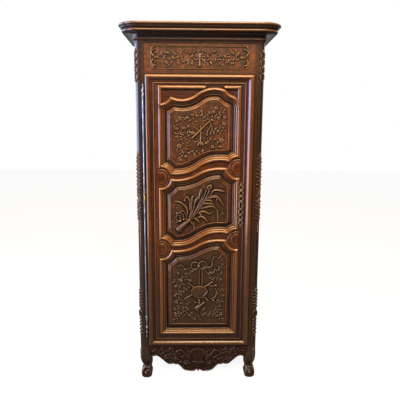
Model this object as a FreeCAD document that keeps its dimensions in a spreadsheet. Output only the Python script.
"""A bonnetiere: the tall, narrow one-door linen cupboard of the French provinces.

The case is four posts joined by rails, with two panels in each side, a boarded back,
three shelves and a cornice that caps the top. The door is a pegged frame of two stiles
and four rails, two of them S-curved, round three fielded panels. It swings on a long
rod hinge and shuts with a key-driven bolt.

Frame: X to the right as one faces the door, Y from front to back, Z up. The origin is
on the floor, under the middle of the cornice. All sizes are millimetres.
"""

import FreeCAD
import Part
import math
import os
import re

from FreeCAD import Vector

# ---------------------------------------------------------------- driving sizes
SIZES = {
    # the whole
    "case_width": 790, "case_depth": 495, "leg_height": 225, "door_height": 1785,
    "door_gap": 3, "frieze_height": 246, "cornice_cap": 38, "cornice_overhang": 95,
    # posts and legs
    "post_width": 56, "post_depth": 60, "post_round": 25, "rear_post_width": 50,
    "rear_post_depth": 45, "quirk_width": 3, "quirk_inset": 34, "quirk_depth": 1.5,
    "quirk_rise": 20, "leg_outset": 13, "toe_reach": 38, "toe_height": 62,
    # cornice
    "frieze_band": 66, "soffit_drop": 14, "fascia_reach": 9, "cap_roll": 7.5,
    "cap_step": 14, "dust_board_thickness": 12, "fit_gap": 0.3,
    # case joinery
    "rail_thickness": 28, "front_set_back": 2, "side_set_back": 4, "side_thickness": 24,
    "side_top_height": 140, "side_bottom_height": 130, "side_middle_height": 90,
    "side_middle_rise": 1135, "side_leg_gap": 150, "front_tenon": 26, "side_tenon": 26,
    "tenon_thickness": 9, "tenon_shoulder": 14, "joint_clearance": 0.2,
    "groove_depth": 10, "tongue_thickness": 8, "panel_float": 1, "side_bevel": 45,
    "back_rail_height": 110, "back_rail_thickness": 25, "back_board_count": 4,
    "back_board_gap": 0.6, "peg_radius": 4, "peg_proud": 1, "peg_depth": 24,
    # shelves and boards
    "board_thickness": 20, "board_lap": 5, "shelf_set_back": 36, "cleat_width": 22,
    "cleat_height": 24, "board_clearance": 1,
    # door frame: rolls and panels
    "door_thickness": 27, "door_set_back": 24, "stile_flat": 93, "roll_outer": 10,
    "roll_inner": 15, "roll_crest": 3, "roll_raise": 9, "sight_width": 35,
    "bevel_width": 24, "field_drop": 8, "ground_drop": 12, "ground_inset": 3,
    "spandrel_sink": 4, "spandrel_edge": 80, "door_tenon": 46, "top_tenon_rise": 44,
    "tongue_set_back": 4, "surround_width": 56, "surround_raise": 14, "surround_lip": 5,
    # the two S-curved rails, the crown and the bosses
    "upper_rail_drop": 636, "rail_pitch": 469, "rail_slope": 65, "boss_inset": 1,
    "notch_radius": 76, "boss_radius": 54, "boss_raise": 2, "boss_disc_radius": 41,
    "boss_disc_raise": 6, "curve_low_shift": 23, "curve_high_shift": 9,
    "upper_curve_low": 28, "upper_curve_rise": 91, "lower_curve_low": 20,
    "lower_curve_rise": 75, "crown_low_drop": 161, "crown_rise": 70,
    "crown_low_shift": 10, "crown_high_shift": 31,
    "crown_left_inset": 3, "crown_left_drop": 108, "crown_left_radius": 78,
    "crown_right_inset": 28, "crown_right_drop": 68, "crown_right_radius": 71,
    "shoulder_drop": 201, "shoulder_radius": 66,
    # apron
    "apron_drop": 192, "apron_arch": 78, "apron_lobe": 75,
    # hinge
    "hinge_reach": 10, "hinge_stand": 9, "barrel_radius": 7, "pin_radius": 3.5,
    "pin_clearance": 0.08, "top_knuckle_drop": 57, "top_knuckle_length": 159,
    "middle_knuckle_rise": 1002, "middle_knuckle_length": 44, "bottom_knuckle_rise": 61,
    "bottom_knuckle_length": 143, "knuckle_gap": 0.5, "leaf_thickness": 2.5,
    "leaf_depth": 30, "leaf_height": 90, "leaf_margin": 6, "pin_seat": 80,
    "finial_height": 72, "barrel_bead": 7,
    # lock
    "lock_rise": 977, "keyhole_inset": 69, "keyhole_radius": 6, "keyhole_drop": 20,
    "plate_width": 26, "plate_length": 312, "plate_thickness": 2, "plate_pin_radius": 1.5,
    "lock_case_width": 96, "lock_case_height": 130, "lock_case_depth": 24, "lock_wall": 2.5,
    "lock_flange": 15, "lock_set_in": 2, "bolt_thickness": 10, "bolt_height": 34,
    "bolt_length": 62, "bolt_throw": 14, "bolt_clearance": 0.5, "bolt_end_room": 4,
    "strike_height": 90, "strike_thickness": 2, "screw_radius": 2.6, "screw_length": 14,
    "screw_inset": 10, "screw_clearance": 0.1,
}

PLACES = {
    "rear_y": "((case_depth + cornice_overhang) / 2)",
    "front_y": "((cornice_overhang - case_depth) / 2)",
    "case_side": "(case_width / 2)",
    "bay_side": "(case_width / 2 - post_width)",
    "rear_bay": "(case_width / 2 - rear_post_width)",
    "door_side": "(case_width / 2 - post_width - door_gap)",
    "door_foot": "(leg_height + door_gap)",
    "door_head": "(leg_height + door_gap + door_height)",
    "frieze_foot": "(leg_height + 2 * door_gap + door_height)",
    "case_top": "(leg_height + 2 * door_gap + door_height + frieze_height)",
    "door_back": "((cornice_overhang - case_depth) / 2 + door_set_back)",
    "door_flat": "((cornice_overhang - case_depth) / 2 + door_set_back - door_thickness)",
    "inner_side": "(case_width / 2 - side_set_back - side_thickness)",
    "side_plane": "(case_width / 2 - side_set_back - side_thickness / 2)",
    "post_back": "((cornice_overhang - case_depth) / 2 + post_depth)",
    "rear_post_front": "((case_depth + cornice_overhang) / 2 - rear_post_depth)",
}


def make_sheet(document):
    """The spreadsheet that holds every driving size under its own alias."""
    table = document.addObject("Spreadsheet::Sheet", "Sizes")
    for row, (alias, value) in enumerate(SIZES.items(), start=1):
        table.set(f"A{row}", alias.replace("_", " "))
        table.set(f"B{row}", str(value))
        table.setAlias(f"B{row}", alias)
    document.recompute()
    return table


doc = FreeCAD.newDocument("bonnetiere")
sheet = make_sheet(doc)


def expression(text):
    """Spells out the derived places and points each alias at the sheet."""
    for name, meaning in PLACES.items():
        text = re.sub(rf"\b{name}\b", meaning, text)
    return re.sub(r"\b([a-z]+(?:_[a-z]+)+)\b", r"Sizes.\1", text)


def value_of(text):
    """The number an expression of sizes and places stands for."""
    probe = doc.addObject("Part::Vertex", "probe")
    probe.setExpression("X", expression(text))
    probe.recompute()
    number = float(probe.X)
    doc.removeObject(probe.Name)
    return number


class Values:
    """Every size of the sheet and every derived place as plain numbers."""


v = Values()
for size_name in SIZES:
    setattr(v, size_name, float(getattr(sheet, size_name)))
for place_name in PLACES:
    setattr(v, place_name, value_of(place_name))
v.hinge_x = -v.door_side - v.hinge_reach
v.hinge_y = v.front_y - v.hinge_stand
v.lock_z = v.door_foot + v.lock_rise
v.keyhole_x = v.door_side - v.keyhole_inset
v.frame_side = v.door_side - v.stile_flat
v.stile_edge = v.frame_side - v.sight_width

nodes = {}
SIDES = (("left", -1), ("right", 1))
# how far a cutting tool runs past the face it cuts, and how far joined pieces overlap
PAST = 1
LAP = 2


def node(thing, name):
    """Files an object as a sub-part under its own name."""
    thing.Label = name
    nodes[name] = thing
    return thing


def cube(name, x, y, z):
    """A squared board between bounds given as pairs of expressions."""
    board = doc.addObject("Part::Box", name)
    for size, place, (low, high) in zip(("Length", "Width", "Height"), "xyz", (x, y, z)):
        board.setExpression(size, expression(f"({high}) - ({low})"))
        board.setExpression(f".Placement.Base.{place}", expression(low))
    return board


def bounds(s, near, far):
    """The pair (low, high) across X for a piece between near and far on side s."""
    return (near, far) if s > 0 else (f"-({far})", f"-({near})")


def grown(pair, by="joint_clearance"):
    """A pair of bounds with a clearance at both ends."""
    return (f"({pair[0]}) - {by}", f"({pair[1]}) + {by}")


def rod(name, radius, height, place, axis):
    """A round bar from a place along an axis; its sizes are expressions."""
    bar = doc.addObject("Part::Cylinder", name)
    bar.setExpression("Radius", expression(radius))
    bar.setExpression("Height", expression(height))
    bar.Placement.Rotation = FreeCAD.Rotation(Vector(0, 0, 1), Vector(*axis))
    for letter, text in zip("xyz", place):
        bar.setExpression(f".Placement.Base.{letter}", expression(text))
    return bar


def joined(name, pieces):
    """One solid from pieces that grow out of each other."""
    whole = doc.addObject("Part::MultiFuse", name)
    whole.Shapes = pieces
    whole.Refine = True
    return whole


def group(name, pieces):
    """Separate solids that share one node."""
    together = doc.addObject("Part::Compound", name)
    together.Links = pieces
    return together


def less(name, base, tools):
    """The base with every tool cut away from it."""
    tool = tools[0]
    if len(tools) > 1:
        tool = doc.addObject("Part::MultiFuse", name + "_cuts")
        tool.Shapes = tools
    rest = doc.addObject("Part::Cut", name)
    rest.Base = base
    rest.Tool = tool
    return rest


def shaped(name, shape):
    """A piece whose shape is worked out with Part's own functions."""
    piece = doc.addObject("Part::Feature", name)
    piece.Shape = shape
    return piece


def box_shape(x0, x1, y0, y1, z0, z1):
    """A plain box between two corners."""
    return Part.makeBox(x1 - x0, y1 - y0, z1 - z0, Vector(x0, y0, z0))


def upright_prism(points, y_front, y_back):
    """A board of an (x, z) outline between two depths."""
    corners = [Vector(x, y_front, z) for x, z in points]
    face = Part.Face(Part.makePolygon(corners + corners[:1]))
    return face.extrude(Vector(0, y_back - y_front, 0))


def clean(shape):
    """The single solid of a boolean's result, with seams between flush faces removed."""
    merged = shape.removeSplitter()
    if not merged.isValid():
        merged = shape
    return merged.Solids[0] if len(merged.Solids) == 1 else merged


# ---------------------------------------------------------------- front posts and legs
def rounded_section(x0, x1, y0, y1, radii, z):
    """A level closed wire: a rectangle with a radius for each corner, front left first."""
    corners = ((x0, y0), (x1, y0), (x1, y1), (x0, y1))
    half = math.sqrt(0.5)
    turns = []
    for i, ((x, y), r) in enumerate(zip(corners, radii)):
        cx = x + (r if x == x0 else -r)
        cy = y + (r if y == y0 else -r)
        middle = Vector(cx + (x - cx) * half, cy + (y - cy) * half, z)
        on_side, on_end = Vector(x, cy, z), Vector(cx, y, z)
        turns.append((on_side, middle, on_end) if i % 2 == 0 else (on_end, middle, on_side))
    edges = []
    for i, turn in enumerate(turns):
        edges.append(Part.Arc(*turn).toShape())
        edges.append(Part.makeLine(turn[2], turns[(i + 1) % 4][0]))
    return Part.Wire(edges)


def leg_shape(s):
    """The cabriole leg with its scrolled toe, below the post."""
    x_in = v.bay_side
    x_out = v.case_side
    y0 = v.front_y
    y1 = v.post_back
    top = v.leg_height
    toe = v.toe_height
    drop = top - toe
    # height, then how far the inner, outer, front and rear faces stand out past the post's
    stations = (
        (top, 0, 0, 0, 0), (toe + drop * 0.75, 4, 0, 0, 0),
        (toe + drop * 0.5, v.leg_outset, -1, 2, -3),
        (toe + drop * 0.25, v.leg_outset + 3, -8, 0, -10), (toe + 8, v.leg_outset + 4, -14, -2, -16),
        (toe * 0.8, v.leg_outset + 4, -12, 10, -16),
        (toe * 0.45, v.leg_outset + 10, -4, v.toe_reach - 6, -10),
        (toe * 0.15, v.leg_outset + 8, -4, v.toe_reach, -6),
        (0, v.leg_outset, -12, v.toe_reach - 12, -10),
    )
    wires = []
    for z, inward, outward, forward, backward in stations:
        a = s * (x_in - inward)
        b = s * (x_out + outward)
        blend = min(1, (top - z) / drop)
        outer = v.post_round * (1 - 0.3 * blend)
        inner = 4 + 11 * blend
        radii = (outer, inner, 8, 8) if s < 0 else (inner, outer, 8, 8)
        x_low, x_high = sorted((a, b))
        wires.append(rounded_section(x_low, x_high, y0 - forward, y1 + backward, radii, z))
    leg = Part.makeLoft(wires, True, False)
    reach = v.leg_outset + v.toe_reach + v.post_round
    low, high = sorted((s * (x_in - reach), s * x_out))
    return leg.common(box_shape(low, high, y0 - reach, y1, 0, top))


def front_post(side, s):
    """A front post: shaft with a rounded outer corner, cabriole leg, and every slot in it."""
    name = f"front_post_{side}"
    z_all = ("leg_height", "case_top")
    flat = cube(name + "_flat", bounds(s, "bay_side", "case_side - post_round"),
                ("front_y", "post_back"), z_all)
    flank = cube(name + "_flank", bounds(s, "case_side - post_round - 1", "case_side"),
                 ("front_y + post_round", "post_back"), z_all)
    round_x = "case_side - post_round" if s > 0 else "post_round - case_side"
    corner = rod(name + "_corner", "post_round", "case_top - leg_height",
                 (round_x, "front_y + post_round", "leg_height"), (0, 0, 1))
    leg = shaped(name + "_leg", leg_shape(s))
    whole = joined(name + "_whole", [flat, flank, corner, leg])
    cuts = []
    for rail, x, y, z in FRONT_TENONS:
        reach = bounds(s, "bay_side - leg_outset - toe_reach", x)
        cuts.append(cube(f"{name}_mortise_{rail}", grown(reach), grown(y), grown(z)))
    for rail, y_front, y_rear, z in SIDE_TENONS:
        cuts.append(cube(f"{name}_mortise_{rail}", grown(bounds(s, *TENON_X)),
                         (f"({y_front}) - joint_clearance", f"post_back + {PAST}"), grown(z)))
    cuts.append(cube(name + "_groove", grown(bounds(s, *TONGUE_X), "joint_clearance"),
                     ("post_back - groove_depth", f"post_back + {PAST}"), GROOVE_Z))
    quirk = ("case_side - quirk_inset - quirk_width", "case_side - quirk_inset")
    cuts.append(cube(name + "_quirk", bounds(s, *quirk), (f"front_y - {PAST}", "front_y + quirk_depth"),
                     ("leg_height + quirk_rise", "case_top - frieze_band")))
    if s < 0:
        for slot, z in KNUCKLE_LEAVES:
            cuts.append(cube(f"{name}_slot_{slot}", grown(LEAF_X),
                             (f"front_y - {PAST}", LEAF_Y[1]), grown(z)))
    else:
        cuts.append(cube(name + "_strike_seat", (f"bay_side - {PAST}", "bay_side + strike_thickness"),
                         STRIKE_Y, STRIKE_Z))
        cuts.append(cube(name + "_bolt_hole", (f"bay_side - {PAST}", "bay_side + bolt_throw + bolt_end_room"),
                         grown(BOLT_Y, "bolt_clearance"), grown(BOLT_Z, "bolt_clearance")))
        cuts += [rod(f"{name}_screw_{i}", STRIKE_SHANK, "screw_length + screw_clearance", place, (1, 0, 0))
                 for i, place in enumerate(STRIKE_SCREWS)]
    for i, ((x, y, z), axis) in enumerate(post_pegs(s)):
        cuts.append(rod(f"{name}_peg_{i}", "peg_radius", "peg_depth + peg_proud + joint_clearance",
                        (x, f"{y} - peg_proud - joint_clearance", z), axis))
    node(less(name, whole, cuts), name)


FRIEZE_TENON_Z = ("frieze_foot + tenon_shoulder", "case_top - tenon_shoulder")
APRON_TENON_Z = ("leg_height - apron_arch + tenon_shoulder", "leg_height - tenon_shoulder")
RAIL_TENON_Y = ("front_y + tenon_shoulder", "front_y + tenon_shoulder + tenon_thickness")
FRONT_TENONS = (("frieze", "bay_side + front_tenon", RAIL_TENON_Y, FRIEZE_TENON_Z),
                ("apron", "bay_side + front_tenon", RAIL_TENON_Y, APRON_TENON_Z))
TENON_X = ("side_plane - tenon_thickness / 2", "side_plane + tenon_thickness / 2")
TONGUE_X = ("side_plane - tongue_thickness / 2", "side_plane + tongue_thickness / 2")
SIDE_RAILS = {
    "bottom": ("side_leg_gap", "side_leg_gap + side_bottom_height"),
    "middle": ("side_middle_rise", "side_middle_rise + side_middle_height"),
    "top": ("case_top - side_top_height", "case_top"),
}
SIDE_TENONS = tuple((rail, "post_back - side_tenon", "rear_post_front + side_tenon",
                     (f"{low} + tenon_shoulder", f"{high} - tenon_shoulder"))
                    for rail, (low, high) in SIDE_RAILS.items())
GROOVE_Z = (f"{SIDE_RAILS['bottom'][1]} - tenon_shoulder",
            f"{SIDE_RAILS['top'][0]} + tenon_shoulder")

HINGE_X = "-door_side - hinge_reach"
HINGE_Y = "front_y - hinge_stand"
KNUCKLES = {
    "top": ("door_head - top_knuckle_drop - top_knuckle_length", "door_head - top_knuckle_drop"),
    "middle": ("door_foot + middle_knuckle_rise",
               "door_foot + middle_knuckle_rise + middle_knuckle_length"),
    "bottom": ("door_foot + bottom_knuckle_rise",
               "door_foot + bottom_knuckle_rise + bottom_knuckle_length"),
}
LEAF_X = (f"{HINGE_X} - leaf_thickness / 2", f"{HINGE_X} + leaf_thickness / 2")
LEAF_Y = (HINGE_Y, f"{HINGE_Y} + leaf_depth")
KNUCKLE_LEAVES = (
    ("top", (f"{KNUCKLES['top'][0]} + leaf_margin", f"{KNUCKLES['top'][0]} + leaf_height")),
    ("middle", (f"{KNUCKLES['middle'][0]} + leaf_margin", f"{KNUCKLES['middle'][1]} - leaf_margin")),
    ("bottom", (f"{KNUCKLES['bottom'][1]} - leaf_height", f"{KNUCKLES['bottom'][1]} - leaf_margin")),
)
LOCK_Z = "door_foot + lock_rise"
BOLT_Y = ("door_back + (lock_case_depth - bolt_thickness) / 2",
          "door_back + (lock_case_depth + bolt_thickness) / 2")
BOLT_Z = (f"{LOCK_Z} - bolt_height / 2", f"{LOCK_Z} + bolt_height / 2")
STRIKE_Y = ("door_back + 1", "door_back + lock_case_depth - 1")
STRIKE_Z = (f"{LOCK_Z} - strike_height / 2", f"{LOCK_Z} + strike_height / 2")
STRIKE_SCREWS = tuple(("bay_side", "door_back + lock_case_depth / 2",
                       f"{LOCK_Z} + {t} * (strike_height / 2 - screw_inset)") for t in (-1, 1))
STRIKE_SHANK = "screw_radius * 0.6"

# how far up its tenon each peg goes
FRIEZE_PEGS = (0.2, 0.6)
APRON_PEGS = (0.22, 0.78)


def peg_height(tenon_z, share):
    """The height of a peg at a share of the way up a tenon."""
    low, high = tenon_z
    return f"{low} + ({high} - ({low})) * {share}"


def post_pegs(s):
    """Place and direction of the pegs through one front post: two for each front tenon."""
    x = "bay_side + front_tenon / 2" if s > 0 else "-(bay_side + front_tenon / 2)"
    tenons = ((FRIEZE_TENON_Z, FRIEZE_PEGS), (APRON_TENON_Z, APRON_PEGS))
    return [((x, "front_y", peg_height(z, share)), (0, 1, 0)) for z, shares in tenons for share in shares]


for side, s in SIDES:
    front_post(side, s)
pegs = []
for side, s in SIDES:
    for i, (place, axis) in enumerate(post_pegs(s)):
        start = (place[0], place[1] + " - peg_proud", place[2])
        pegs.append(rod(f"case_peg_{side}_{i}", "peg_radius - joint_clearance / 4",
                        "peg_depth + peg_proud", start, axis))
node(group("case_pegs", pegs), "case_pegs")


# ---------------------------------------------------------------- rear posts
BACK_TENON_Y = ("rear_y - back_rail_thickness / 2 - tenon_thickness / 2",
                "rear_y - back_rail_thickness / 2 + tenon_thickness / 2")
BACK_RAILS = {
    "top": ("case_top - back_rail_height", "case_top"),
    "bottom": ("side_leg_gap", "side_leg_gap + back_rail_height"),
}
BACK_GROOVE_Z = (f"{BACK_RAILS['bottom'][1]} - tenon_shoulder", f"{BACK_RAILS['top'][0]} + tenon_shoulder")
for side, s in SIDES:
    post_name = f"rear_post_{side}"
    shaft = cube(post_name + "_shaft", bounds(s, "rear_bay", "case_side"),
                 ("rear_post_front", "rear_y"), ("0", "case_top"))
    slots = []
    for rail, y_front, y_rear, z in SIDE_TENONS:
        slots.append(cube(f"{post_name}_mortise_{rail}", grown(bounds(s, *TENON_X)),
                          (f"rear_post_front - {PAST}", f"({y_rear}) + joint_clearance"), grown(z)))
    slots.append(cube(post_name + "_groove", grown(bounds(s, *TONGUE_X)),
                      (f"rear_post_front - {PAST}", "rear_post_front + groove_depth"), GROOVE_Z))
    mortise_x = grown(bounds(s, f"rear_bay - {PAST}", "rear_bay + front_tenon"))
    for rail, (low, high) in BACK_RAILS.items():
        z = (f"{low} + tenon_shoulder", f"{high} - tenon_shoulder")
        slots.append(cube(f"{post_name}_back_mortise_{rail}", mortise_x, grown(BACK_TENON_Y), grown(z)))
    groove_x = grown(bounds(s, f"rear_bay - {PAST}", "rear_bay + groove_depth"))
    slots.append(cube(post_name + "_back_groove", groove_x, grown(BACK_TENON_Y), BACK_GROOVE_Z))
    node(less(post_name, shaft, slots), post_name)


# ---------------------------------------------------------------- front rails
def framed_bar(name, body, tenon, cuts=()):
    """A rail with a tenon bar running through it, less its cuts."""
    whole = joined(name + "_bar", [body, tenon])
    return less(name, whole, list(cuts)) if cuts else whole


def peg_holes(name, tenon_z, shares):
    """The peg holes through both tenons of a front rail."""
    holes = []
    for side, s in SIDES:
        x = "bay_side + front_tenon / 2" if s > 0 else "-(bay_side + front_tenon / 2)"
        for i, share in enumerate(shares):
            holes.append(rod(f"{name}_hole_{side}_{i}", "peg_radius", "peg_depth + joint_clearance",
                             (x, "front_y", peg_height(tenon_z, share)), (0, 1, 0)))
    return holes


RAIL_Y = ("front_y + front_set_back", "front_y + front_set_back + rail_thickness")
TENON_SPAN = ("-(bay_side + front_tenon)", "bay_side + front_tenon")
frieze_body = cube("frieze_body", ("-bay_side", "bay_side"), RAIL_Y, ("frieze_foot", "case_top"))
frieze_tenon = cube("frieze_tenon", TENON_SPAN, RAIL_TENON_Y, FRIEZE_TENON_Z)
frieze_holes = peg_holes("frieze", FRIEZE_TENON_Z, FRIEZE_PEGS)
node(framed_bar("frieze_rail", frieze_body, frieze_tenon, frieze_holes), "frieze_rail")


def apron_points():
    """The right half of the apron's lower edge: (share of the bay, drop below the door)."""
    half = v.bay_side
    deep = v.apron_drop
    arch = v.apron_arch
    lobe = v.apron_lobe
    return (
        (0, deep - 7), (4, deep), (lobe * 0.12, deep - 13), (lobe * 0.45, deep), (lobe, deep - 3),
        (lobe * 1.35, deep - 14), (lobe * 1.8, deep - 48), (lobe * 2.12, deep - 50),
        (lobe * 2.2, deep - 56), (lobe * 2.75, deep - 55), (lobe * 3.25, deep - 86),
        (half - 67, arch + 6), (half - 46, arch), (half - 25, arch + 8), (half, arch + 26),
    )


def apron_shape():
    """The scalloped front rail under the door."""
    top = v.leg_height
    right = [Vector(x, 0, top - drop) for x, drop in apron_points()]
    left = [Vector(-p.x, 0, p.z) for p in right]
    edges = []
    for half in (left, right):
        drop_tip = Part.makeLine(half[0], half[1])
        cusp = Part.Arc(half[1], (half[1] + half[2]) * 0.5 + Vector(0, 0, 1.5), half[2]).toShape()
        lobe = Part.BSplineCurve()
        lobe.interpolate(half[2:7])
        step = Part.makeLine(half[6], half[8])
        arch = Part.BSplineCurve()
        arch.interpolate(half[8:])
        edges += [drop_tip, cusp, lobe.toShape(), step, arch.toShape()]
    edges.append(Part.makeLine(right[-1], Vector(v.bay_side, 0, top)))
    edges.append(Part.makeLine(Vector(v.bay_side, 0, top), Vector(-v.bay_side, 0, top)))
    edges.append(Part.makeLine(Vector(-v.bay_side, 0, top), left[-1]))
    face = Part.Face(Part.Wire(Part.__sortEdges__(edges)))
    board = face.extrude(Vector(0, v.rail_thickness, 0))
    board.translate(Vector(0, v.front_y + v.front_set_back, 0))
    return board.cut([leg_shape(s) for _, s in SIDES])


apron_body = shaped("apron_body", apron_shape())
apron_tenon = cube("apron_tenon", TENON_SPAN, RAIL_TENON_Y, APRON_TENON_Z)
apron_holes = peg_holes("apron", APRON_TENON_Z, APRON_PEGS)
node(framed_bar("apron_rail", apron_body, apron_tenon, apron_holes), "apron_rail")

# ---------------------------------------------------------------- side frames
SIDE_X = ("inner_side", "case_side - side_set_back")
for side, s in SIDES:
    for rail, y_front, y_rear, z in SIDE_TENONS:
        rail_name = f"side_{rail}_rail_{side}"
        body = cube(rail_name + "_body", bounds(s, *SIDE_X), ("post_back", "rear_post_front"),
                    SIDE_RAILS[rail])
        tenon = cube(rail_name + "_tenon", bounds(s, *TENON_X), (y_front, y_rear), z)
        low, high = SIDE_RAILS[rail]
        groove_x = grown(bounds(s, *TONGUE_X))
        groove_y = (f"post_back - {PAST}", f"rear_post_front + {PAST}")
        grooves = []
        if rail != "top":
            grooves.append(cube(rail_name + "_upper_groove", groove_x, groove_y,
                                (f"{high} - groove_depth", f"{high} + {PAST}")))
        if rail != "bottom":
            grooves.append(cube(rail_name + "_lower_groove", groove_x, groove_y,
                                (f"{low} - {PAST}", f"{low} + groove_depth")))
        node(framed_bar(rail_name, body, tenon, grooves), rail_name)
    for place, (below, above) in (("lower", ("bottom", "middle")), ("upper", ("middle", "top"))):
        panel_name = f"side_{place}_panel_{side}"
        z0 = SIDE_RAILS[below][1]
        z1 = SIDE_RAILS[above][0]
        tongue = cube(panel_name + "_tongue", bounds(s, *TONGUE_X),
                      grown(("post_back - groove_depth", "rear_post_front + groove_depth"), "-panel_float"),
                      grown((f"{z0} - groove_depth", f"{z1} + groove_depth"), "-panel_float"))
        field = doc.addObject("Part::Wedge", panel_name + "_field")
        low_y = {"": "post_back + board_clearance", "2": "post_back + side_bevel"}
        high_y = {"": "rear_post_front - board_clearance", "2": "rear_post_front - side_bevel"}
        for end in ("", "2"):
            # turned a quarter about Z, the wedge's X runs along Y and its Y points outwards
            along = (low_y[end], high_y[end]) if s < 0 else (f"-({high_y[end]})", f"-({low_y[end]})")
            field.setExpression(f"X{end}min", expression(along[0]))
            field.setExpression(f"X{end}max", expression(along[1]))
            rim = "board_clearance" if end == "" else "side_bevel"
            field.setExpression(f"Z{end}min", expression(f"{z0} + {rim}"))
            field.setExpression(f"Z{end}max", expression(f"{z1} - {rim}"))
        field.setExpression("Ymin", expression("tongue_thickness / 2 - joint_clearance"))
        field.setExpression("Ymax", expression("side_thickness / 2 - 1"))
        field.Placement.Rotation = FreeCAD.Rotation(Vector(0, 0, 1), -90 * s)
        field.setExpression(".Placement.Base.x", expression("side_plane" if s > 0 else "-side_plane"))
        node(joined(panel_name, [tongue, field]), panel_name)


# ---------------------------------------------------------------- back
BACK_BODY_Y = ("rear_y - back_rail_thickness", "rear_y")
for rail, (low, high) in BACK_RAILS.items():
    body = cube(f"back_{rail}_body", ("-rear_bay", "rear_bay"), BACK_BODY_Y, (low, high))
    tenon = cube(f"back_{rail}_tenon", ("-(rear_bay + front_tenon)", "rear_bay + front_tenon"),
                 BACK_TENON_Y, (f"{low} + tenon_shoulder", f"{high} - tenon_shoulder"))
    z = (f"{low} - {PAST}", f"{low} + groove_depth")
    if rail == "bottom":
        z = (f"{high} - groove_depth", f"{high} + {PAST}")
    groove = cube(f"back_{rail}_groove", grown(("-rear_bay", "rear_bay"), str(PAST)), grown(BACK_TENON_Y), z)
    node(framed_bar(f"back_{rail}_rail", body, tenon, [groove]), f"back_{rail}_rail")

board_count = int(v.back_board_count)
board_pitch = f"(2 * (rear_bay + groove_depth - panel_float) + back_board_gap) / {board_count}"
boards = []
for i in range(board_count):
    start = f"-(rear_bay + groove_depth - panel_float) + {i} * {board_pitch}"
    boards.append(cube(f"back_board_{i}", (start, f"{start} + {board_pitch} - back_board_gap"), BACK_TENON_Y,
                       grown((f"{BACK_RAILS['bottom'][1]} - groove_depth",
                              f"{BACK_RAILS['top'][0]} + groove_depth"), "-panel_float")))
node(group("back_boards", boards), "back_boards")


# ---------------------------------------------------------------- floor, ceiling and shelves
def inner_board(name, front, z):
    """A board notched round the four posts."""
    depth = cube(name + "_front", grown(("-bay_side", "bay_side"), "-board_clearance"),
                 (front, "post_back + board_lap"), z)
    middle = cube(name + "_middle", grown(("-inner_side", "inner_side"), "-board_clearance"),
                  grown(("post_back", "rear_post_front"), "-board_clearance"), z)
    rear = cube(name + "_rear", grown(("-rear_bay", "rear_bay"), "-board_clearance"),
                ("rear_post_front - board_lap", "rear_y - back_rail_thickness - board_clearance"), z)
    node(joined(name, [depth, middle, rear]), name)


def cleats(foot):
    """A pair of bearers between the posts, with their tops at foot."""
    return [cube(f"cleat_{side}_{len(nodes)}", bounds(s, "inner_side - cleat_width", "inner_side"),
                 ("post_back", "rear_post_front"), (f"{foot} - cleat_height", foot)) for side, s in SIDES]


FLOOR_Z = ("leg_height", "leg_height + board_thickness")
CEILING_Z = ("frieze_foot - board_thickness", "frieze_foot")
SHELF_NAMES = ("lower", "middle", "upper")
shelf_pitch = f"({CEILING_Z[0]} - leg_height) / {len(SHELF_NAMES) + 1}"
inner_board("case_floor", "door_back + board_clearance", FLOOR_Z)
bearers = cleats(FLOOR_Z[0])
for i, shelf in enumerate(SHELF_NAMES, start=1):
    foot = f"leg_height + {i} * {shelf_pitch}"
    inner_board(f"shelf_{shelf}", "door_back + shelf_set_back", (foot, f"{foot} + board_thickness"))
    bearers += cleats(foot)
inner_board("case_ceiling", "door_back + board_clearance", CEILING_Z)
bearers += cleats(CEILING_Z[0])
node(group("shelf_cleats", bearers), "shelf_cleats")


# ---------------------------------------------------------------- cornice
def cornice_face():
    """The cornice's section in the XZ plane: X is the reach from the case's side."""
    top = v.case_top + v.cornice_cap
    bed = v.case_top - v.frieze_band
    soffit = v.case_top - v.soffit_drop
    lip = v.fascia_reach + 4
    roll = v.cap_roll
    step = v.cornice_overhang - v.cap_step
    low_roll = soffit + 2 + roll
    path = [
        (v.fit_gap, bed), (v.fascia_reach / 3, bed), (v.fascia_reach / 3, bed + 6),
        ((v.fascia_reach * 0.5, bed + 13), (lip - 2, bed + 18)), ((lip + 1, bed + 22), (lip - 2, bed + 26)),
        (v.fascia_reach, bed + 27), (v.fascia_reach, soffit), (step - roll - 6, soffit),
        (step - roll - 6, soffit + 2), ((step - 6, low_roll), (step - roll - 6, low_roll + roll)),
        ((step - roll * 0.4, top - 2 * roll - 9), (step + roll * 0.6, top - 2 * roll - 1)),
        (v.cornice_overhang - roll, top - 2 * roll),
        ((v.cornice_overhang, top - roll), (v.cornice_overhang - roll, top)),
        (-v.post_round, top), (-v.post_round, v.case_top), (v.fit_gap, v.case_top),
    ]
    return Part.Face(wire_of(path))


def wire_of(path):
    """A closed wire in the XZ plane: (x, z) is a corner, ((x, z), (x, z)) an arc through a point."""
    edges = []
    start = path[0]
    for stop in path[1:] + [path[0]]:
        if isinstance(stop[0], tuple):
            middle, end = stop
            points = [Vector(a, 0, b) for a, b in (start, middle, end)]
            edges.append(Part.Arc(*points).toShape())
        else:
            end = stop
            edges.append(Part.makeLine(Vector(start[0], 0, start[1]), Vector(end[0], 0, end[1])))
        start = end
    return Part.Wire(edges)


def placed(shape, x, y, turn):
    """A copy turned about Z and moved level."""
    moved = shape.copy()
    moved.rotate(Vector(0, 0, 0), Vector(0, 0, 1), turn)
    moved.translate(Vector(x, y, 0))
    return moved


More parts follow.
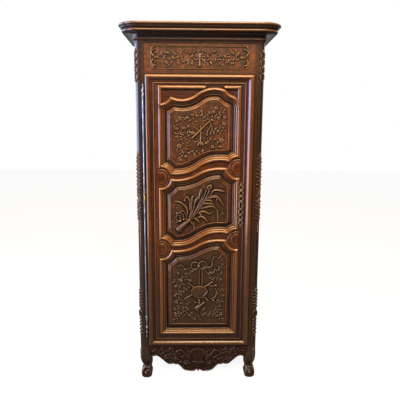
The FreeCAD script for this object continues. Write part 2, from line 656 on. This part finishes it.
section = cornice_face()
straight = v.case_side - v.post_round
depth = v.case_depth - v.post_round
front = placed(section, 0, 0, -90).extrude(Vector(2 * straight, 0, 0))
front.translate(Vector(-straight, v.front_y, 0))
node(shaped("cornice_front", front), "cornice_front")
for side, s in SIDES:
    run = placed(section, s * v.case_side, v.rear_y, 0 if s > 0 else 180).extrude(Vector(0, -depth, 0))
    node(shaped(f"cornice_side_{side}", run), f"cornice_side_{side}")
    ring = section.copy()
    ring.translate(Vector(v.post_round, 0, 0))
    quarter = ring.revolve(Vector(0, 0, 0), Vector(0, 0, 1), 90)
    quarter = placed(quarter, s * straight, v.front_y + v.post_round, -90 if s > 0 else 180)
    node(shaped(f"cornice_corner_{side}", quarter), f"cornice_corner_{side}")
DUST_X = ("-(case_side - post_round)", "case_side - post_round")
node(cube("cornice_dust_board", grown(DUST_X, "-board_clearance"),
          ("front_y + post_round + board_clearance", "rear_y"),
          ("case_top", "case_top + dust_board_thickness")), "cornice_dust_board")


# ---------------------------------------------------------------- door: outlines of the openings
def upright(x, step):
    """A vertical edge that moves by step for each millimetre of inset."""
    return lambda inset: ("x", x + step * inset)


def level(z, step):
    """A horizontal edge that moves by step for each millimetre of inset."""
    return lambda inset: ("z", z + step * inset)


def round_edge(x, z, radius, step):
    """An arc whose radius changes by step for each millimetre of inset."""
    return lambda inset: ("c", x, z, radius + step * inset)


def shoulder(inset):
    """The convex turn at the crown's right end, tangent to the stile's edge."""
    radius = max(v.shoulder_radius - inset, 8)
    return ("c", v.frame_side - inset - radius, v.door_head - v.shoulder_drop, radius)


def meeting(a, b, near):
    """The point where two edges meet that lies nearest to another point."""
    if a[0] != "c":
        a, b = b, a
    if a[0] != "c":
        return (a[1], b[1]) if a[0] == "x" else (b[1], a[1])
    _, x, z, radius = a
    if b[0] == "c":
        gap = math.hypot(b[1] - x, b[2] - z)
        along = (gap * gap + radius * radius - b[3] * b[3]) / (2 * gap)
        rise = math.sqrt(max(0, radius * radius - along * along))
        ux, uz = (b[1] - x) / gap, (b[2] - z) / gap
        found = [(x + ux * along - t * uz * rise, z + uz * along + t * ux * rise) for t in (-1, 1)]
    elif b[0] == "x":
        rise = math.sqrt(max(0, radius * radius - (b[1] - x) ** 2))
        found = [(b[1], z - rise), (b[1], z + rise)]
    else:
        run = math.sqrt(max(0, radius * radius - (b[1] - z) ** 2))
        found = [(x - run, b[1]), (x + run, b[1])]
    return min(found, key=lambda p: math.hypot(p[0] - near[0], p[1] - near[1]))


def ogee(low_x, low_z, high_x, rise, steps):
    """Two tangent arcs that climb from a low point to a high one, both level at their ends."""
    run = (high_x - low_x) / 2
    radius = (run * run + rise * rise / 4) / rise
    return (round_edge(low_x, low_z + radius, radius, steps[0]),
            round_edge(high_x, low_z + rise - radius, radius, steps[1]))


class Opening:
    """One panel's opening: its edges in turn and a rough place for each corner between them."""

    def __init__(self, edges, corners):
        self.edges = edges
        self.corners = corners
        self.corners = self.vertices(0)

    def vertices(self, inset):
        """The corner before each edge, at an inset."""
        now = [edge(inset) for edge in self.edges]
        return [meeting(now[i - 1], now[i], near) for i, near in enumerate(self.corners)]

    def wire(self, inset, y):
        """The closed outline at an inset from the roll's crest, at depth y."""
        points = self.vertices(inset)
        wires = []
        for i, edge in enumerate(self.edges):
            start = points[i]
            end = points[(i + 1) % len(points)]
            now = edge(inset)
            first, last = Vector(start[0], y, start[1]), Vector(end[0], y, end[1])
            if now[0] == "c":
                mx, mz = (start[0] + end[0]) / 2 - now[1], (start[1] + end[1]) / 2 - now[2]
                scale = now[3] / math.hypot(mx, mz)
                middle = Vector(now[1] + mx * scale, y, now[2] + mz * scale)
                wires.append(Part.Arc(first, middle, last).toShape())
            else:
                wires.append(Part.makeLine(first, last))
        return Part.Wire(wires)

    def board(self, inset, y_front, y_back):
        """A flat board of the outline between two depths."""
        return Part.Face(self.wire(inset, y_front)).extrude(Vector(0, y_back - y_front, 0))

    def slope(self, inset_front, y_front, inset_back, y_back):
        """A board whose edge slopes from one inset to another."""
        return Part.makeLoft([self.wire(inset_front, y_front), self.wire(inset_back, y_back)], True, True)


def rail_arcs(drop, upper):
    """The two arcs of one edge of a curved rail whose left boss lies at a drop from the door's head."""
    z = v.door_head - drop
    low_x = -v.frame_side / 2 - v.curve_low_shift
    high_x = v.frame_side / 2 + v.curve_high_shift
    if upper:
        return ogee(low_x, z + v.upper_curve_low, high_x, v.upper_curve_rise, (-1, 1))
    return ogee(low_x, z - v.lower_curve_low, high_x, v.lower_curve_rise, (1, -1))


def boss_places(drop):
    """The centres of the two bosses of a curved rail, left then right."""
    z = v.door_head - drop
    reach = v.frame_side + v.boss_inset
    return ((-reach, z), (reach, z + v.rail_slope))


def notches(drop):
    """The two arcs that run round the bosses, left then right."""
    return [round_edge(x, z, v.notch_radius, 1) for x, z in boss_places(drop)]


def corner_guesses(drop, above):
    """Rough places of the five corners along a curved rail, from left to right."""
    (xl, zl), (xr, zr) = boss_places(drop)
    side = 1 if above else -1
    r = v.notch_radius
    return [(-v.frame_side, zl + side * r), (xl + r, zl + side * r * 0.3), (0, (zl + zr) / 2 + side * 30),
            (xr - r, zr + side * r * 0.5), (v.frame_side, zr + side * r)]


RAIL_DROPS = (v.upper_rail_drop, v.upper_rail_drop + v.rail_pitch)
left_stile = upright(-v.frame_side, 1)
right_stile = upright(v.frame_side, -1)
head = v.door_head


def crown():
    """The edges over the top panel from left to right, and the corners before each."""
    xl, zl, rl = -v.frame_side + v.crown_left_inset, head - v.crown_left_drop, v.crown_left_radius
    xr, zr, rr = v.frame_side - v.crown_right_inset, head - v.crown_right_drop, v.crown_right_radius
    low_x = -v.frame_side / 2 + v.crown_low_shift
    high_x = v.frame_side / 2 - v.crown_high_shift
    low, high = ogee(low_x, head - v.crown_low_drop, high_x, v.crown_rise, (1, -1))
    edges = [round_edge(xl, zl, rl, 1), low, high, round_edge(xr, zr, rr, 1), shoulder]
    corners = [(-v.frame_side, zl - rl), (xl + rl, zl - rl * 0.4),
               (0, head - v.crown_low_drop + v.crown_rise / 2),
               (xr - rr, zr), (xr, zr - rr), (v.frame_side, head - v.shoulder_drop)]
    return edges, corners


def openings():
    """The three openings from the top down; each runs up the left stile and clockwise."""
    found = []
    for i in range(3):
        if i == 0:
            top_edges, top_corners = crown()
        else:
            left, right = notches(RAIL_DROPS[i - 1])
            low, high = rail_arcs(RAIL_DROPS[i - 1], False)
            top_edges, top_corners = [left, low, high, right], corner_guesses(RAIL_DROPS[i - 1], False)
        if i == 2:
            foot = v.door_foot + v.stile_flat
            low_edges, low_corners = [level(foot, 1)], [(v.frame_side, foot), (-v.frame_side, foot)]
        else:
            left, right = notches(RAIL_DROPS[i])
            low, high = rail_arcs(RAIL_DROPS[i], True)
            low_edges, low_corners = [right, high, low, left], corner_guesses(RAIL_DROPS[i], True)[::-1]
        edges = [left_stile] + top_edges + [right_stile] + low_edges
        corners = [low_corners[-1]] + top_corners + low_corners[:-1]
        found.append(Opening(edges, corners))
    return found


OPENINGS = openings()

# ---------------------------------------------------------------- door: the moulded frame
FLAT = v.door_flat
CREST = FLAT - v.roll_raise
TONGUE_BACK = v.door_back - v.tongue_set_back
TONGUE_FRONT = TONGUE_BACK - v.tongue_thickness


def moulded_frame():
    """The whole front frame before it is parted into stiles and rails."""
    slab = box_shape(-v.door_side, v.door_side, FLAT, v.door_back, v.door_foot, v.door_head)
    rolls = [o.slope(-v.roll_crest, CREST, -v.roll_outer, FLAT + 1) for o in OPENINGS]
    edge = v.frame_side + v.roll_outer
    bosses = []
    for drop in RAIL_DROPS:
        for x, z in boss_places(drop):
            for radius, rise in ((v.boss_radius, v.boss_raise), (v.boss_disc_radius, v.boss_disc_raise)):
                bosses.append(Part.makeCylinder(radius, rise + 1, Vector(x, FLAT + 1, z), Vector(0, -1, 0)))
    inside = box_shape(-edge, edge, CREST - PAST, FLAT + LAP, v.door_foot, v.door_head)
    raised = rolls[0].multiFuse(rolls[1:] + bosses).common(inside)
    side = v.frame_side
    top = v.door_head - v.spandrel_edge
    sunk = FLAT + v.spandrel_sink
    pocket = box_shape(-side, side, FLAT - PAST, sunk, v.door_head - v.shoulder_drop, top)
    pocket = pocket.cut(OPENINGS[0].board(-v.roll_outer, FLAT - LAP, sunk + PAST))
    frame = slab.cut(pocket).fuse(raised)
    cuts = []
    for o in OPENINGS:
        cuts.append(o.slope(v.roll_crest, CREST, v.roll_inner, FLAT + 3))
        cuts.append(o.board(v.roll_inner, FLAT + 3 - 0.01, FLAT + 6))
        cuts.append(o.board(v.sight_width, FLAT - 1, v.door_back + 1))
        cuts.append(o.board(v.sight_width - v.groove_depth, TONGUE_FRONT - 0.1, TONGUE_BACK + 0.1))
    return frame.cut(cuts)


frame_shape = moulded_frame()


# ---------------------------------------------------------------- door: stiles and rails
CURVED_TENON_HALF = v.notch_radius - v.tenon_shoulder
TENON_FRONT = TONGUE_BACK - v.tenon_thickness
PEG_SHARES = (0.25, 0.75)
PEG_LENGTH = v.door_thickness * 0.7
PARTING = [v.door_head - (v.crown_low_drop + RAIL_DROPS[0]) / 2, v.door_head - sum(RAIL_DROPS) / 2,
           (v.door_head - RAIL_DROPS[1] + v.door_foot + v.stile_flat) / 2]


def rail_tenons():
    """For each rail the heights of its left and right tenons."""
    top_foot = v.door_head - v.shoulder_drop + v.top_tenon_rise
    bottom_top = v.door_foot + v.stile_flat + v.tenon_shoulder
    heights = {"top": [(top_foot, v.door_head - 2 * v.tenon_shoulder)] * 2,
               "bottom": [(v.door_foot + 1.5 * v.tenon_shoulder, bottom_top)] * 2}
    for name, drop in zip(("curved_upper", "curved_lower"), RAIL_DROPS):
        heights[name] = [(z - CURVED_TENON_HALF, z + CURVED_TENON_HALF) for _, z in boss_places(drop)]
    return heights


TENONS = rail_tenons()
RAIL_SPANS = {
    "top": (PARTING[0], v.door_head), "curved_upper": (PARTING[1], PARTING[0]),
    "curved_lower": (PARTING[2], PARTING[1]), "bottom": (v.door_foot, PARTING[2]),
}


def tenon_box(s, heights, clearance):
    """A tenon of a door rail, or its mortise when there is a clearance."""
    near = v.stile_edge - LAP
    far = v.stile_edge + v.door_tenon + clearance
    low, high = heights
    return box_shape(min(s * near, s * far), max(s * near, s * far), TENON_FRONT - clearance,
                     TONGUE_BACK + clearance, low - clearance, high + clearance)


def door_pegs(clearance):
    """The pegs that lock each tenon, driven from the inside of the door."""
    found = []
    for heights in TENONS.values():
        for (low, high), (_, s) in zip(heights, SIDES):
            for share in PEG_SHARES:
                place = Vector(s * (v.stile_edge + v.door_tenon / 2), v.door_back + v.peg_proud,
                               low + (high - low) * share)
                found.append(Part.makeCylinder(v.peg_radius + clearance, PEG_LENGTH + v.peg_proud,
                                               place, Vector(0, -1, 0)))
    return found


def keyhole(y_front, y_back):
    """A round hole for the key's stem over a slot for its bit."""
    stem = Part.makeCylinder(v.keyhole_radius, y_back - y_front, Vector(v.keyhole_x, y_front, v.lock_z),
                             Vector(0, 1, 0))
    half = v.keyhole_radius * 0.6
    slot = box_shape(v.keyhole_x - half, v.keyhole_x + half, y_front, y_back,
                     v.lock_z - v.keyhole_drop, v.lock_z)
    return stem.fuse(slot)


def plate_outline():
    """The parts of the pierced key plate: a shield round the keyhole and a chain of rings."""
    half = v.plate_width / 2
    pitch = v.plate_width * 0.86
    shield = [(0, v.lock_z, half, 0), (0, v.lock_z - v.keyhole_drop * 0.8, half, 0)]
    rings = []
    count = int((v.plate_length / 2 - v.plate_width * 1.5) / pitch)
    for i in range(count):
        ring_z = v.plate_width * 1.35 + i * pitch
        size = half * (1 - 0.06 * i)
        rings.append((0, v.lock_z + ring_z, size, size * 0.5))
        rings.append((0, v.lock_z - ring_z - v.keyhole_drop * 0.5, size, size * 0.5))
    return shield, rings


def key_plate():
    """The pierced iron plate round the keyhole."""
    shield, rings = plate_outline()
    back = FLAT
    front = FLAT - v.plate_thickness
    outer = [Part.makeCylinder(r, back - front, Vector(v.keyhole_x + x, front, z), Vector(0, 1, 0))
             for x, z, r, _ in shield + rings]
    spine = box_shape(v.keyhole_x - v.plate_width * 0.2, v.keyhole_x + v.plate_width * 0.2, front, back,
                      v.lock_z - v.plate_length / 2, v.lock_z + v.plate_length / 2)
    waist = box_shape(v.keyhole_x - v.plate_width * 0.5, v.keyhole_x + v.plate_width * 0.5, front, back,
                      v.lock_z - v.keyhole_drop * 0.8, v.lock_z)
    holes = [Part.makeCylinder(hole, back - front + 2 * PAST, Vector(v.keyhole_x + x, front - PAST, z),
                               Vector(0, 1, 0)) for x, z, _, hole in rings]
    plate = outer[0].multiFuse(outer[1:] + [spine, waist])
    return clean(plate.cut(holes + plate_pins(v.screw_clearance) + [keyhole(front - PAST, back + PAST)]))


def plate_pins(clearance):
    """The two pins that hold the key plate, at its tips."""
    found = []
    for up in (-1, 1):
        place = Vector(v.keyhole_x, FLAT - v.plate_thickness - PIN_HEAD,
                       v.lock_z + up * (v.plate_length / 2 - 2 * v.plate_pin_radius - PIN_HEAD))
        found.append(Part.makeCylinder(v.plate_pin_radius + clearance, v.screw_length - PIN_HEAD, place,
                                       Vector(0, 1, 0)))
    return found


PIN_HEAD = 1
LOCK_BODY_HEIGHT = v.lock_case_height - 2 * v.lock_flange
LOCK_X1 = v.door_side - v.lock_set_in
LOCK_X0 = LOCK_X1 - v.lock_case_width


def lock_screws(clearance):
    """The four screws through the lock's flanges into the stile."""
    found = []
    for x in (LOCK_X0 + v.screw_inset, LOCK_X1 - v.screw_inset):
        for up in (-1, 1):
            place = Vector(x, v.door_back + v.lock_wall,
                           v.lock_z + up * (v.lock_case_height - v.lock_flange) / 2)
            shank = Part.makeCylinder(v.screw_radius + clearance, v.screw_length, place, Vector(0, -1, 0))
            if clearance:
                found.append(shank)
            else:
                dome = Part.makeCylinder(v.screw_radius * 1.9, v.screw_radius * 0.6, place, Vector(0, 1, 0))
                found.append(shank.fuse(dome))
    return found


def barrel_leaves():
    """Bounds of the four leaves that carry the door on its barrels."""
    low, middle, high = (KNUCKLE_SPANS[name] for name in ("bottom", "middle", "top"))
    found = []
    for foot, top in ((low[1], middle[0]), (middle[1], high[0])):
        inset = (top - foot) * 0.16
        for centre in (foot + inset, top - inset):
            found.append((centre - v.leaf_height / 2, centre + v.leaf_height / 2))
    return found


KNUCKLE_SPANS = {name: (value_of(low), value_of(high)) for name, (low, high) in KNUCKLES.items()}
LEAVES = barrel_leaves()

for (side, s), hand in zip(SIDES, ("hinge", "lock")):
    edge = v.stile_edge
    x_low, x_high = sorted((s * edge, s * v.door_side))
    half = box_shape(x_low, x_high, CREST - PAST, v.door_back, v.door_foot, v.door_head)
    stile = frame_shape.common(half)
    end = 0 if s < 0 else 1
    stile = stile.cut([tenon_box(s, heights[end], v.joint_clearance) for heights in TENONS.values()])
    stile = stile.cut(door_pegs(v.joint_clearance / 4))
    if hand == "lock":
        reach = v.plate_width / 2 + v.joint_clearance
        tall = v.plate_length / 2 + v.joint_clearance
        stile = stile.cut(box_shape(v.keyhole_x - reach, v.keyhole_x + reach, CREST - PAST, FLAT,
                                    v.lock_z - tall, v.lock_z + tall))
        stile = stile.cut(keyhole(CREST - PAST, v.door_back + PAST))
        stile = stile.cut(lock_screws(v.screw_clearance)).cut(plate_pins(v.screw_clearance))
    node(shaped(f"door_stile_{hand}", clean(stile)), f"door_stile_{hand}")

for name, (foot, top) in RAIL_SPANS.items():
    middle = box_shape(-v.stile_edge, v.stile_edge, CREST - PAST, v.door_back, foot, top)
    rail = frame_shape.common(middle)
    rail = rail.fuse([tenon_box(s, heights, 0) for (_, s), heights in zip(SIDES, TENONS[name])])
    # a tenon that reaches as low or as high as the lock is bored for its screws with the stile
    rail = rail.cut(door_pegs(v.joint_clearance / 4)).cut(lock_screws(v.screw_clearance))
    label = f"door_{name}_rail" if name in ("top", "bottom") else f"door_curved_rail_{name[7:]}"
    node(shaped(label, clean(rail)), label)
node(shaped("door_pegs", Part.makeCompound(door_pegs(0))), "door_pegs")


# ---------------------------------------------------------------- door: panels
def fielded_panel(opening):
    """A panel with a tongue all round, a bevel, and a field sunk inside a thin rim."""
    field = FLAT + v.field_drop
    rim = v.sight_width + v.bevel_width
    tongue = opening.board(v.sight_width - v.groove_depth + v.panel_float, TONGUE_FRONT, TONGUE_BACK)
    bevel = opening.slope(rim, field, v.sight_width + v.panel_float, TONGUE_FRONT + v.panel_float / 2)
    ground = opening.board(rim + v.ground_inset, field - PAST, FLAT + v.ground_drop)
    return clean(tongue.fuse(bevel).cut(ground))


for name, opening in zip(("top", "middle", "bottom"), OPENINGS):
    node(shaped(f"door_panel_{name}", fielded_panel(opening)), f"door_panel_{name}")


# ---------------------------------------------------------------- door: the mitred surround
def surround_face():
    """The surround's section: X is the distance in from the door's edge, Z its height."""
    wide = v.surround_width
    high = v.surround_raise
    lip = v.surround_lip
    return Part.Face(wire_of([
        (0, 0), (0, lip), ((wide * 0.25, high), (wide * 0.66, lip * 0.5)), (wide * 0.78, lip * 0.4),
        ((wide * 0.89, lip + 2), (wide, lip * 0.4)), (wide, 0),
    ]))


def surround_piece(along, mitre):
    """A length of the surround, cut to its mitres."""
    width, height = 2 * v.door_side, v.door_height
    face = surround_face()
    length = height if along in ("left", "right") else width
    # stand the section up: X stays the distance inwards, its height turns towards the viewer
    bar = face.extrude(Vector(0, length, 0))
    bar.rotate(Vector(0, 0, 0), Vector(1, 0, 0), 90)
    if along == "left":
        bar.translate(Vector(-v.door_side, FLAT, v.door_foot))
    if along == "right":
        bar = bar.mirror(Vector(0, 0, 0), Vector(1, 0, 0))
        bar.translate(Vector(v.door_side, FLAT, v.door_foot))
    if along == "bottom":
        bar.rotate(Vector(0, 0, 0), Vector(0, 1, 0), -90)
        bar.translate(Vector(v.door_side, FLAT, v.door_foot))
    if along == "top":
        bar.rotate(Vector(0, 0, 0), Vector(0, 1, 0), 90)
        bar.translate(Vector(-v.door_side, FLAT, v.door_head))
    return clean(bar.common(upright_prism(mitre, FLAT - v.surround_raise - PAST, FLAT + PAST)))


def mitre_outlines():
    """The trapezium that each length of the surround keeps."""
    outlines = []
    for wide in (0, v.surround_width + PAST):
        x, foot, top = v.door_side - wide, v.door_foot + wide, v.door_head - wide
        outlines.append([(-x, foot), (x, foot), (x, top), (-x, top)])
    outer, inner = outlines
    names = ("bottom", "right", "top", "left")
    return {name: [outer[i], outer[(i + 1) % 4], inner[(i + 1) % 4], inner[i]]
            for i, name in enumerate(names)}


for name, mitre in mitre_outlines().items():
    piece = surround_piece(name, mitre)
    if name == "left":
        gap = v.joint_clearance
        piece = piece.cut([box_shape(-v.door_side - PAST, -v.door_side + v.leaf_depth + gap,
                                     FLAT - v.leaf_thickness - gap, FLAT + PAST, low - gap, high + gap)
                           for low, high in LEAVES])
    node(shaped(f"door_moulding_{name}", clean(piece)), f"door_moulding_{name}")


# ---------------------------------------------------------------- hinge
def turned(name, path):
    """A PartDesign body turned about the hinge's axis from a half profile of (radius, height)."""
    body = doc.addObject("PartDesign::Body", name)
    sketch = body.newObject("Sketcher::SketchObject", name + "_profile")
    plane = [f for f in body.Origin.OriginFeatures if f.Role == "XZ_Plane"][0]
    sketch.AttachmentSupport = [(plane, "")]
    sketch.MapMode = "FlatFace"
    for start, end in zip(path, path[1:] + path[:1]):
        sketch.addGeometry(Part.LineSegment(Vector(*start, 0), Vector(*end, 0)), False)
    spin = body.newObject("PartDesign::Revolution", name + "_turn")
    spin.Profile = sketch
    spin.ReferenceAxis = (sketch, ["V_Axis"])
    spin.Angle = 360
    body.setExpression(".Placement.Base.x", expression(HINGE_X))
    body.setExpression(".Placement.Base.y", expression(HINGE_Y))
    return body


def finial(start, up):
    """A turned tip beyond the barrel: collar, neck, vase and ball, growing upwards or downwards."""
    # radius as a share of the barrel's, then the share of the way up
    steps = ((1.15, 0), (1.15, 0.06), (0.75, 0.1), (0.55, 0.17), (0.8, 0.28), (1.1, 0.42), (1.12, 0.5),
             (0.8, 0.64), (0.42, 0.75), (0.42, 0.79), (0.75, 0.85), (0.8, 0.9), (0.5, 0.97), (0.1, 1))
    return [(v.barrel_radius * wide, start + up * v.finial_height * rise) for wide, rise in steps]


def collared(foot, top):
    """A barrel's outline from foot to top with a bead at each end."""
    r = v.barrel_radius
    bead = r * 1.18
    near, far = v.barrel_bead * 0.2, v.barrel_bead * 0.7
    return [(r, foot), (bead, foot + near), (bead, foot + far), (r, foot + v.barrel_bead),
            (r, top - v.barrel_bead), (bead, top - far), (bead, top - near), (r, top)]


BORE = "pin_radius + joint_clearance / 10"
for name, (foot, top) in KNUCKLE_SPANS.items():
    label = f"hinge_{name}_knuckle"
    bore_foot, bore_top = grown(KNUCKLES[name], str(PAST))
    if name == "top":
        half = collared(foot, top - v.finial_height) + finial(top - v.finial_height, 1)
        bore_top = f"{KNUCKLES[name][1]} - pin_seat"
    elif name == "bottom":
        half = finial(foot + v.finial_height, -1)[::-1] + collared(foot + v.finial_height, top)
        bore_foot = f"{KNUCKLES[name][0]} + pin_seat"
    else:
        half = collared(foot, top)
    barrel = turned(label + "_barrel", [(0, half[0][1])] + half + [(0, half[-1][1])])
    leaf = cube(label + "_leaf", LEAF_X, LEAF_Y, dict(KNUCKLE_LEAVES)[name])
    bore = rod(label + "_bore", BORE, f"({bore_top}) - ({bore_foot})", (HINGE_X, HINGE_Y, bore_foot),
               (0, 0, 1))
    node(less(label, joined(label + "_whole", [barrel, leaf]), [bore]), label)

ROD_FOOT = f"{KNUCKLES['bottom'][0]} + pin_seat"
ROD_TOP = f"{KNUCKLES['top'][1]} - pin_seat - pin_clearance"
node(rod("hinge_rod", "pin_radius", f"({ROD_TOP}) - ({ROD_FOOT})", (HINGE_X, HINGE_Y, ROD_FOOT), (0, 0, 1)),
     "hinge_rod")

BARRELS = (("lower", "bottom", "middle", LEAVES[:2]), ("upper", "middle", "top", LEAVES[2:]))
for name, below, above, leaves in BARRELS:
    label = f"hinge_{name}_barrel"
    foot = KNUCKLE_SPANS[below][1] + v.knuckle_gap
    top = KNUCKLE_SPANS[above][0] - v.knuckle_gap
    barrel = turned(label + "_tube", [(0, foot)] + collared(foot, top) + [(0, top)])
    flaps = [shaped(f"{label}_leaf_{i}", box_shape(v.hinge_x, -v.door_side + v.leaf_depth,
                                                   FLAT - v.leaf_thickness, FLAT, low, high))
             for i, (low, high) in enumerate(leaves)]
    bore = rod(label + "_bore", "pin_radius + pin_clearance", f"{top - foot + 2 * PAST}",
               (HINGE_X, HINGE_Y, f"{foot - PAST}"), (0, 0, 1))
    node(less(label, joined(label + "_whole", [barrel] + flaps), [bore]), label)


# ---------------------------------------------------------------- lock
def lock_case():
    """A flanged iron box on the inside of the door, open inside for the bolt."""
    y0, y1 = v.door_back, v.door_back + v.lock_case_depth
    half = LOCK_BODY_HEIGHT / 2
    flange = box_shape(LOCK_X0, LOCK_X1, y0, y0 + v.lock_wall, v.lock_z - v.lock_case_height / 2,
                       v.lock_z + v.lock_case_height / 2)
    body = box_shape(LOCK_X0, LOCK_X1, y0, y1, v.lock_z - half, v.lock_z + half)
    hollow = box_shape(LOCK_X0 + v.lock_wall, LOCK_X1 - v.lock_wall, y0 + v.lock_wall, y1 - v.lock_wall,
                       v.lock_z - half + v.lock_wall, v.lock_z + half - v.lock_wall)
    c = v.bolt_clearance
    slot = box_shape(LOCK_X1 - v.lock_wall - PAST, LOCK_X1 + PAST, value_of(BOLT_Y[0]) - c,
                     value_of(BOLT_Y[1]) + c, value_of(BOLT_Z[0]) - c, value_of(BOLT_Z[1]) + c)
    cuts = [hollow, slot, keyhole(y0 - PAST, y0 + v.lock_wall + PAST)] + lock_screws(v.screw_clearance)
    return clean(flange.fuse(body).cut(cuts))


node(shaped("lock_case", lock_case()), "lock_case")
node(shaped("lock_screws", Part.makeCompound(lock_screws(0))), "lock_screws")
node(shaped("escutcheon", key_plate()), "escutcheon")
node(shaped("escutcheon_pins", Part.makeCompound(plate_pins(0))), "escutcheon_pins")

BOLT_END = "door_side - lock_set_in"
bolt_bar = cube("bolt_bar", (f"{BOLT_END} - bolt_length", BOLT_END), BOLT_Y, BOLT_Z)
# the notch that the key's bit turns in
bolt_notch = cube("bolt_notch", (f"{BOLT_END} - bolt_length * 0.6", f"{BOLT_END} - bolt_length * 0.42"),
                  grown(BOLT_Y, str(PAST)), (f"{BOLT_Z[0]} - {PAST}", f"{BOLT_Z[0]} + bolt_height * 0.25"))
node(less("lock_bolt", bolt_bar, [bolt_notch]), "lock_bolt")

STRIKE_X = ("bay_side", "bay_side + strike_thickness")
strike = cube("strike_body", STRIKE_X, grown(STRIKE_Y, "-joint_clearance"),
              grown(STRIKE_Z, "-joint_clearance"))
window = cube("strike_window", grown(STRIKE_X, str(PAST)), grown(BOLT_Y, "bolt_clearance"),
              grown(BOLT_Z, "bolt_clearance"))
strike_holes = [rod(f"strike_hole_{i}", STRIKE_SHANK, f"strike_thickness + 2 * {PAST}",
                    (f"{place[0]} - {PAST}", place[1], place[2]), (1, 0, 0))
                for i, place in enumerate(STRIKE_SCREWS)]
node(less("strike_plate", strike, [window] + strike_holes), "strike_plate")
strike_screws = [rod(f"strike_screw_{i}", f"{STRIKE_SHANK} - joint_clearance / 4", "screw_length", place,
                     (1, 0, 0)) for i, place in enumerate(STRIKE_SCREWS)]
node(group("strike_screws", strike_screws), "strike_screws")


# ---------------------------------------------------------------- check and write
doc.recompute()
for thing in doc.Objects:
    if "Invalid" in thing.State or "Error" in thing.State:
        raise RuntimeError(f"{thing.Label} did not build: {thing.State}")
for name, thing in nodes.items():
    if thing.Shape.isNull() or not thing.Shape.isValid():
        raise RuntimeError(f"{name} has no sound shape")
os.makedirs("parts", exist_ok=True)
for name, thing in nodes.items():
    thing.Shape.exportStep(f"parts/{name}.step")
print(len(nodes), "sub-parts written")
